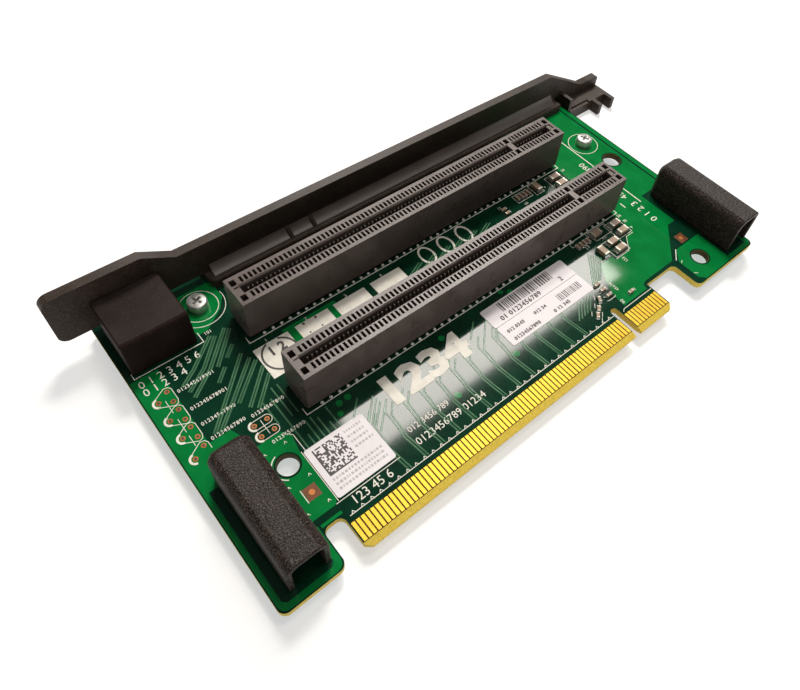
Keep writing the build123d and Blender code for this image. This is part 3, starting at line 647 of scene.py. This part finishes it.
# an inked ring on the first patch, open where it runs past the edge, and notches in the second
stamp = {"x": 9.6, "y": 41.6, "radius": 3.7, "width": 0.42, "low": 0.03, "high": 0.05, "steps": 40,
         "edge": 45.1,
         "digits": {"words": "1 2", "x": 7.6, "y": 42.0, "tall": 2.2, "bold": 0.03, "high": 0.12},
         "notches": ((17.0, 44.9, 0.32), (17.0, 42.3, 0.22), (19.9, 44.9, 0.32), (19.9, 42.3, 0.22)),
         "notchHigh": 0.055}
half = stamp["radius"] * math.pi / stamp["steps"] + 0.02        # half a step, a little long
bm = bmesh.new()
for k in range(stamp["steps"]):
    turn = math.tau * k / stamp["steps"]
    x, y = stamp["x"] + stamp["radius"] * math.cos(turn), stamp["y"] + stamp["radius"] * math.sin(turn)
    if y < stamp["edge"]:
        runX, runY = -math.sin(turn) * half, math.cos(turn) * half
        addStrip(bm, (x - runX, y - runY), (x + runX, y + runY), stamp["width"], stamp["low"], stamp["high"])
addDigits(bm, **stamp["digits"])
for x, y, r in stamp["notches"]:
    addDisc(bm, x, y, stamp["low"], stamp["notchHigh"], r)
finishPiece("stampInk", bm, "ink")
print("white print laid")

# bare laminate between the fingers

fingerWindow = {"front": 1.35, "back": 5.4, "high": 0.015, "runs": ((0.25, 71.0), (73.25, 83.6))}
bm = bmesh.new()
for left, right in fingerWindow["runs"]:
    addBlock(bm, left, right, fingerWindow["front"], fingerWindow["back"], 0.0, fingerWindow["high"])
finishPiece("fingerWindow", bm, "olive")

# bare copper: test pads and sighting marks

testPad = {"hole": 0.27, "radius": 0.5, "high": 0.06, "fill": 0.28, "fillHigh": 0.03}
bm = bmesh.new()
for x, y in testPads:
    addRing(bm, x, y, 0.0, testPad["high"], testPad["hole"], testPad["radius"], 18)
finishPiece("testPads", bm, "copper", merge=True)
# painted shade: dark discs fill the pads' holes to stand for their unlit inside
bm = bmesh.new()
for x, y in testPads:
    addDisc(bm, x, y, 0.0, testPad["fillHigh"], testPad["fill"])
finishPiece("testPadHoleShade", bm, "ink")

sighting = {"half": 1.3, "high": 0.03, "dot": 0.55, "dotHigh": 0.06, "spots": ((-1.68, 14.03), (102.8, 11.9))}
squares, dots = bmesh.new(), bmesh.new()
for x, y in sighting["spots"]:
    half = sighting["half"]
    addBlock(squares, x - half, x + half, y - half, y + half, 0.0, sighting["high"])
    addDisc(dots, x, y, 0.0, sighting["dotHigh"], sighting["dot"], sides=24)
finishPiece("sightingSquares", squares, "window")
finishPiece("sightingDots", dots, "copper")
print("bare copper laid")

# card slots: solder dots beside them, tails under the board, and spring contacts coloured dark as painted
# shade in the channel, with pale tips as painted glints

slots = {"near": ("slot_1_contacts", 31.25), "far": ("slot_2_contacts", 51.57)}        # node, middle line
contactRow = {"left": (80.17, 71), "right": (82.17, 11)}        # first x beside the key wall, how many
contactXs = [contactRow["left"][0] - k for k in range(contactRow["left"][1])]
contactXs += [contactRow["right"][0] + k for k in range(contactRow["right"][1])]
slotDots = {"rows": (27.52, 47.82), "high": 0.2, "radius": 0.36, "top": 0.24}
bm = bmesh.new()
for y in slotDots["rows"]:
    for x in [79.67 - 2.0 * k for k in range(36)] + [83.67 + 2.0 * k for k in range(5)]:
        addDisc(bm, x, y, 0.0, slotDots["high"], slotDots["radius"], slotDots["top"])
finishPiece("slotDots", bm, "solderWhite")

tail = {"inner": 1.25, "outer": 3.25, "low": -2.37, "high": -1.8, "halfWide": 0.13, "halfDeep": 0.09}
joint = {"low": -1.9, "high": -1.57, "radius": 0.2, "top": 0.42}
for label, (node, middle) in slots.items():
    bm = bmesh.new()
    for k, x in enumerate(contactXs):
        for side in (-1, 1):
            y = middle + side * tail["inner" if k % 2 else "outer"]
            wide, deep = tail["halfWide"], tail["halfDeep"]
            addDisc(bm, x, y, joint["low"], joint["high"], joint["radius"], joint["top"], 8)
            addBlock(bm, x - wide, x + wide, y - deep, y + deep, tail["low"], tail["high"])
    finishPiece(label + "SlotTails", bm, "solder")

contact = {"width": 0.36, "thick": 0.14,        # shape: distance from the middle line and height
           "shape": ((0.98, 3.1), (0.88, 5.0), (0.46, 8.2), (0.50, 8.9), (0.84, 9.75), (0.90, 9.95))}
contactTip = {"off": 0.76, "low": 9.7, "high": 9.892, "radius": 0.17, "top": 0.1224}
for label, (node, middle) in slots.items():
    bm = bmesh.new()
    for x in contactXs:
        for side in (-1, 1):
            left = x - contact["width"] / 2
            made = [bm.verts.new((left, middle + side * off, z)) for off, z in contact["shape"]]
            bowed = [bm.edges.new(pair) for pair in zip(made, made[1:])]
            wide = bmesh.ops.extrude_edge_only(bm, edges=bowed)["geom"]
            bmesh.ops.translate(bm, vec=(contact["width"], 0, 0), verts=newVerts(wide))
    bmesh.ops.recalc_face_normals(bm, faces=bm.faces)
    bmesh.ops.solidify(bm, geom=bm.faces[:], thickness=contact["thick"])
    bmesh.ops.recalc_face_normals(bm, faces=bm.faces)
    finishPiece(label + "SlotContacts", bm, "contact", [node])
    # painted glint: pale solder-coloured discs on the contacts' tops, a highlight on the same metal
    bm = bmesh.new()
    for x in contactXs:
        for side in (-1, 1):
            addDisc(bm, x, middle + side * contactTip["off"], contactTip["low"], contactTip["high"],
                    contactTip["radius"], contactTip["top"], 8)
    finishPiece(label + "SlotContactGlintTips", bm, "solderWhite")
print("slot contacts set, in each row:", len(contactXs))

# surface-mounted parts with wrapped ends and solder: middle and turn in degrees

largeChip = {"long": 2.9, "wide": 1.6, "high": 1.25, "cap": 0.52, "name": "largeChip",
             "nodes": (["bypass_capacitors"], ["bypass_capacitor_terminals"]),
             "spots": ((92.2, 44.9, 0), (92.2, 42.3, 0), (85.8, 45.0, 90), (92.3, 24.6, 0), (92.2, 22.0, 0),
                       (87.4, 21.0, 0), (87.4, 18.5, 0), (83.1, 20.3, 90), (86.0, 25.1, 0))}
smallChip = {"long": 1.5, "wide": 0.8, "high": 0.7, "cap": 0.3, "name": "smallChip",
             "nodes": (["coupling_capacitors"], []),
             "spots": ((79.3, 45.0, 90), (80.5, 45.0, 90), (81.7, 45.0, 90), (82.9, 45.0, 90),
                       (73.7, 44.2, 0), (73.7, 42.8, 0), (79.4, 24.9, 90), (80.6, 24.9, 90),
                       (81.8, 24.9, 90), (83.0, 24.9, 90), (74.5, 14.5, 0), (74.5, 12.7, 0),
                       (74.5, 10.9, 0), (71.7, 11.3, 60), (69.6, 9.7, 45), (68.1, 8.6, 45), (79.3, 8.5, 0))}


def softBox(bm, spot, limits, soft):
    made = bmesh.ops.create_cube(bm, size=1.0, matrix=boxMatrix(*limits))["verts"]
    edges = list({edge for vert in made for edge in vert.link_edges})
    done = bmesh.ops.bevel(bm, geom=edges, offset=soft, segments=2, profile=0.5, affect="EDGES", material=-1)
    bmesh.ops.transform(bm, matrix=spot, verts=list({v for v in made if v.is_valid} | set(done["verts"])))


def addFillet(bm, spot, side, chip):        # solder that climbs the end of a chip
    end, high = chip["long"] / 2, chip["high"]
    x0, x1 = sorted((side * (end - 0.05), side * (end + high * 0.16)))
    wedge = boxMatrix(x0, x1, -chip["wide"] * 0.45, chip["wide"] * 0.45, high * 0.02, high * 0.38)
    made = bmesh.ops.create_cube(bm, size=1.0, matrix=wedge)["verts"]
    outer = [v for v in made if v.co.x * side > end + 0.02 and v.co.z > high * 0.3]
    bmesh.ops.translate(bm, vec=(0, 0, -high * 0.3), verts=outer)
    bmesh.ops.transform(bm, matrix=spot, verts=made)


def chipSet(chip):
    end, half, high, cap = chip["long"] / 2, chip["wide"] / 2, chip["high"], chip["cap"]
    bodies, caps, solder = bmesh.new(), bmesh.new(), bmesh.new()
    for x, y, turn in chip["spots"]:
        spot = Matrix.Translation((x, y, 0.02)) @ Matrix.Rotation(math.radians(turn), 4, "Z")
        inner = end - cap * 0.8
        softBox(bodies, spot, (-inner, inner, 0.03 - half, half - 0.03, 0.02, high - 0.03), 0.05)
        for side in (-1, 1):
            x0, x1 = sorted((side * end, side * (end - cap)))
            softBox(caps, spot, (x0, x1, -half, half, 0.0, high), 0.07)
            addFillet(solder, spot, side, chip)
    bodyNodes, capNodes = chip["nodes"]
    finishPiece(chip["name"] + "Bodies", bodies, "ceramic", bodyNodes)
    finishPiece(chip["name"] + "Ends", caps, "tin", capNodes)
    finishPiece(chip["name"] + "EndsSolder", solder, "solder")


chipSet(largeChip)
chipSet(smallChip)
print("surface-mounted parts set")

# labels: left, front, width and depth

labelSheet = {"low": 0.045, "high": 0.1, "corner": 0.5}
labels = {"codeLabel": ("code_label", 1.2, 10.1, 12.8, 11.1),
          "serialLabel": ("serial_label", 48.0, 14.2, 25.3, 5.4),
          "revisionLabel": ("revision_label", 47.9, 19.7, 25.4, 5.2)}
for name, (node, x, y, wide, deep) in labels.items():
    bm = bmesh.new()
    addBlock(bm, x, x + wide, y, y + deep, labelSheet["low"], labelSheet["high"])
    corners = [e for e in bm.edges if abs(e.verts[0].co.z - e.verts[1].co.z) > 0.01]
    bmesh.ops.bevel(bm, geom=corners, offset=labelSheet["corner"], segments=4, profile=0.5, affect="EDGES",
                    material=-1)
    finishPiece(name, bm, "paper", [node])

labelInk = {"high": 0.112, "wordsHigh": 0.224}
cells = {"count": 20, "size": 0.3, "left": 2.4, "front": 14.3, "share": 0.46, "overlap": 0.005}
bars = ({"left": 52.4, "right": 68.0, "front": 22.0, "back": 24.5, "wide": (0.2, 0.26, 0.4),
         "gap": (0.24, 0.3, 0.5)},
        {"left": 64.6, "right": 71.6, "front": 16.3, "back": 18.2, "wide": (0.16, 0.26), "gap": (0.22, 0.34)})
bm = bmesh.new()
for i in range(cells["count"]):        # a square of random cells
    for j in range(cells["count"]):
        if i == 0 or j == 0 or dice.random() < cells["share"]:
            x, y = cells["left"] + i * cells["size"], cells["front"] + j * cells["size"]
            size = cells["size"] + cells["overlap"]
            addBlock(bm, x, x + size, y, y + size, labelSheet["high"], labelInk["high"])
for code in bars:        # random bars
    x = code["left"]
    while x < code["right"]:
        wide = dice.choice(code["wide"])
        addBlock(bm, x, x + wide, code["front"], code["back"], labelSheet["high"], labelInk["high"])
        x += wide + dice.choice(code["gap"])
for x, y, tall, words in ((50.6, 20.3, 1.25, "01 0123456789"), (68.8, 20.3, 1.25, "2"),
                          (49.4, 17.2, 0.85, "012 0345"), (57.4, 17.2, 0.85, "012 34"),
                          (49.4, 14.9, 0.9, "01234567890"), (61.4, 14.9, 0.9, "0 12 345")):
    addDigits(bm, words, x, y, tall, high=labelInk["wordsHigh"], spread=1.12)
finishPiece("labelInk", bm, "ink")

faint = {"rows": [(9.2, 19.6 - 1.2 * k) for k in range(4)] + [(2.4, 13.2 - k) for k in range(3)],
         "least": 0.2, "most": 0.6, "gap": 0.25, "tall": 0.5, "stop": 13.0, "right": 13.2, "high": 0.108}
bm = bmesh.new()
for x, y in faint["rows"]:        # dashes where the small words are
    while x < faint["stop"]:
        wide = dice.uniform(faint["least"], faint["most"])
        right = min(x + wide, faint["right"])
        addBlock(bm, x, right, y, y + faint["tall"], labelSheet["high"], faint["high"])
        x += wide + faint["gap"]
finishPiece("faintInk", bm, "faint")
print("labels set")

# floor, lights and camera

studioFloor = {"profile": ((0.0, 0.0), (2.5, 0.0), (2.75, 0.08), (2.92, 0.28), (3.0, 0.6), (3.02, 1.2)),
               "drop": 0.0002, "glow": 0.5}        # a wide flat floor that turns up into a low pale wall
bm = bmesh.new()
addLathe(bm, 0.0, 0.0, studioFloor["profile"], 64)
floorMesh = bpy.data.meshes.new("studioFloor")
bm.to_mesh(floorMesh)
bm.free()
floor = bpy.data.objects.new("studioFloor", floorMesh)
floor.location = (0.0, 0.0, -studioFloor["drop"])
bpy.context.scene.collection.objects.link(floor)
floorFinish = variedMaterial("paleFloor", (0.50, 0.50, 0.50), (0.54, 0.54, 0.54), 0.7, 0.8, 3.0)
floorShader = floorFinish.node_tree.nodes["Principled BSDF"]
floorShader.inputs["Emission Color"].default_value = (1.0, 1.0, 1.0, 1.0)
floorShader.inputs["Emission Strength"].default_value = studioFloor["glow"]
floorMesh.materials.append(floorFinish)

studioSky = {"color": (1.0, 1.0, 1.0, 1.0), "strength": 0.06}
world = bpy.data.worlds.new("studioSky")
bpy.context.scene.world = world
world.use_nodes = True
sky = world.node_tree.nodes["Background"]
sky.inputs["Color"].default_value = studioSky["color"]
sky.inputs["Strength"].default_value = studioSky["strength"]

lampColor = {"warm": (1.0, 0.95, 0.89), "warmer": (1.0, 0.93, 0.85)}
lamps = {        # place, size, power in watts, colour and whether it looks down instead of at the card
    "keyLight": ((0.24, 0.30, 0.75), (0.14, 0.14), 3.8, "warm", False),
    "fillLight": ((0.15, -0.02, 0.75), (0.16, 0.16), 1.3, "warm", False),
    "backLight": ((0.5, 0.78, 0.55), (0.2, 0.2), 1.8, "warm", False),
    "topLight": ((-0.15, -0.4, 1.0), (0.4, 0.4), 0.7, "warm", False),
    "frontLight": ((-0.35, -1.0, 0.4), (0.5, 0.4), 0.5, "warmer", False),
    "stripLight": ((0.2816, 0.1919, 0.5037), (0.38, 0.06), 1.05, "warm", True),
    "rimLight": ((0.31, 0.2825, 0.5037), (0.42, 0.055), 1.4, "warm", True),
}
for name, (spot, size, power, color, down) in lamps.items():
    data = bpy.data.lights.new(name, "AREA")
    data.shape = "RECTANGLE"
    data.size, data.size_y = size
    data.energy = power
    data.color = lampColor[color]
    lamp = bpy.data.objects.new(name, data)
    lamp.location = spot
    if not down:
        lamp.rotation_euler = (-Vector(spot)).to_track_quat("-Z", "Y").to_euler()
    bpy.context.scene.collection.objects.link(lamp)
bpy.data.objects["keyLight"].visible_glossy = False        # else its image lies on the board beside the tubes

photoCamera = {"spot": (-0.076966, -0.065652, 0.119505), "turn": (37.9278, -5.0787, -40.8362),
               "lens": 30.619, "sensor": 36.0, "shift": -0.06, "near": 0.005}
camData = bpy.data.cameras.new("photoCamera")
camData.sensor_width = photoCamera["sensor"]
camData.lens = photoCamera["lens"]
camData.shift_x = camData.shift_y = photoCamera["shift"]
camData.clip_start = photoCamera["near"]
camera = bpy.data.objects.new("photoCamera", camData)
camera.location = photoCamera["spot"]
camera.rotation_euler = [math.radians(turn) for turn in photoCamera["turn"]]
bpy.context.scene.collection.objects.link(camera)
bpy.context.scene.camera = camera
bpy.context.scene.view_settings.view_transform = "Standard"
print("studio ready")
